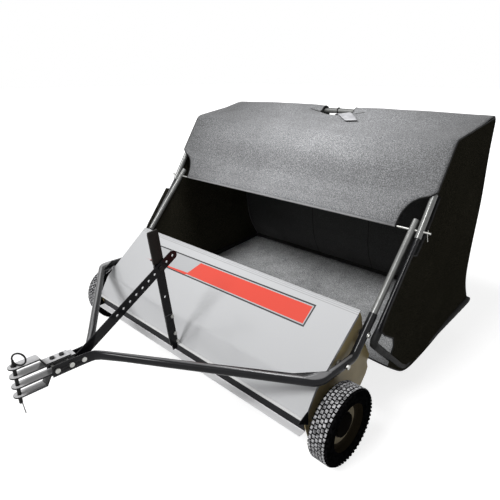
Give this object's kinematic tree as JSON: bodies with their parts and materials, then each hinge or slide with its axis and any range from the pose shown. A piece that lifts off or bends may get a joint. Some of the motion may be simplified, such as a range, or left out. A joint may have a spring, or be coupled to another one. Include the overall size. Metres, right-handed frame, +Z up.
{
  "type": "tow-behind lawn sweeper",
  "caption": "Tow-behind lawn sweeper: wide hooded brush housing on two geared wheels, tube tow frame with height lever, and a fabric hamper on a tube frame.",
  "frame": {"origin": "on the ground at the middle of the whole length and width", "axes": "+X towards the machine's left side, -Y towards the hitch, +Z up"},
  "size_m": [1.534, 1.8934, 1.0768],
  "materials": {
    "hood paint": "smooth light grey gloss",
    "plate paint": "grey-brown satin",
    "black paint": "black gloss",
    "grey tube": "silver-grey satin",
    "zinc": "zinc-plated",
    "tyre": "matt",
    "rim plastic": "moulded",
    "black plastic": "moulded",
    "grip": "matt",
    "bristle": "filament",
    "fabric": "black woven mesh"
  },
  "bodies": {
    "housing": {"hood": "hood paint", "side_plate_left": "plate paint", "side_plate_right": "plate paint", "front_channel": "black paint", "corner_gusset_left": "black paint", "corner_gusset_right": "black paint", "rear_tie_rod": "zinc", "stub_axle_left": "zinc", "stub_axle_right": "zinc", "brush_bearing_left": "black plastic", "brush_bearing_right": "black plastic", "pivot_bolt_left": "zinc", "pivot_bolt_right": "zinc", "lever_mast": "black paint", "mast_bracket": "black paint", "lever_grip": "grip"},
    "wheel_left": {"tyre_left": "tyre", "rim_left": "rim plastic", "hub_cap_left": "black plastic"},
    "wheel_right": {"tyre_right": "tyre", "rim_right": "rim plastic", "hub_cap_right": "black plastic"},
    "brush": {"brush_shaft": "zinc", "brush_core": "black plastic", "pinion_left": "black plastic", "pinion_right": "black plastic", "bristle_row_1": "bristle", "bristle_row_2": "bristle", "bristle_row_3": "bristle", "bristle_row_4": "bristle", "bristle_row_5": "bristle", "bristle_row_6": "bristle"},
    "tow_frame": {"tow_tube_left": "black paint", "tow_tube_right": "black paint", "arm_tube_left": "black paint", "arm_tube_right": "black paint", "support_tube_left": "grey tube", "support_tube_right": "grey tube", "hitch_top_plate": "black paint", "hitch_upper_bar": "black paint", "hitch_lower_bar": "black paint", "hitch_bottom_plate": "black paint", "hitch_clamp_bolt_1": "zinc", "hitch_clamp_bolt_2": "zinc", "hitch_cross_bolt_1": "zinc", "hitch_cross_bolt_2": "zinc", "strap_pivot_bolt": "zinc"},
    "height_strap": {"height_strap": "black paint", "strap_lock_bolt": "zinc"},
    "height_knob": {"height_knob": "black plastic"},
    "hitch_pin": {"hitch_pin": "zinc", "hitch_pin_clip": "zinc"},
    "hamper": {"hamper_upper_left": "grey tube", "hamper_upper_right": "grey tube", "hamper_lower_left": "grey tube", "hamper_lower_right": "grey tube", "hamper_rod": "zinc", "hamper_clip_left": "zinc", "hamper_clip_right": "zinc", "hamper_bag": "fabric"}
  },
  "joints": [
    {"name": "brush_spin", "type": "hinge", "parent": "housing", "child": "brush", "pos_m": [0, -0.10883, 0.16106], "axis": [1, 0, 0], "continuous": true},
    {"name": "wheel_left_spin", "type": "hinge", "parent": "housing", "child": "wheel_left", "pos_m": [0.7265, -0.1761, 0.141], "axis": [1, 0, 0], "continuous": true},
    {"name": "wheel_right_spin", "type": "hinge", "parent": "housing", "child": "wheel_right", "pos_m": [-0.7265, -0.1761, 0.141], "axis": [1, 0, 0], "continuous": true},
    {"name": "height_tilt", "type": "hinge", "parent": "housing", "child": "tow_frame", "pos_m": [0, -0.1181, 0.322], "axis": [1, 0, 0], "range_deg": [-6, 6]},
    {"name": "strap_swing", "type": "hinge", "parent": "tow_frame", "child": "height_strap", "pos_m": [0, -0.7161, 0.324], "axis": [1, 0, 0], "range_deg": [-1.5, 1.5]},
    {"name": "knob_turn", "type": "hinge", "parent": "housing", "child": "height_knob", "pos_m": [-0.0225, -0.3606, 0.548], "axis": [1, 0, 0], "continuous": true},
    {"name": "hitch_pin_turn", "type": "hinge", "parent": "tow_frame", "child": "hitch_pin", "pos_m": [0, -0.9281, 0.386], "axis": [0, 0, 1], "continuous": true},
    {"name": "hamper_dump", "type": "hinge", "parent": "tow_frame", "child": "hamper", "pos_m": [0, 0.2739, 0.71], "axis": [1, 0, 0], "range_deg": [0, 80]}
  ],
  "couplings": [
    {"joint": "wheel_left_spin", "follows": "brush_spin", "ratio": 0.2},
    {"joint": "wheel_right_spin", "follows": "brush_spin", "ratio": 0.2},
    {"joint": "strap_swing", "follows": "height_tilt", "ratio": 0.2}
  ]
}
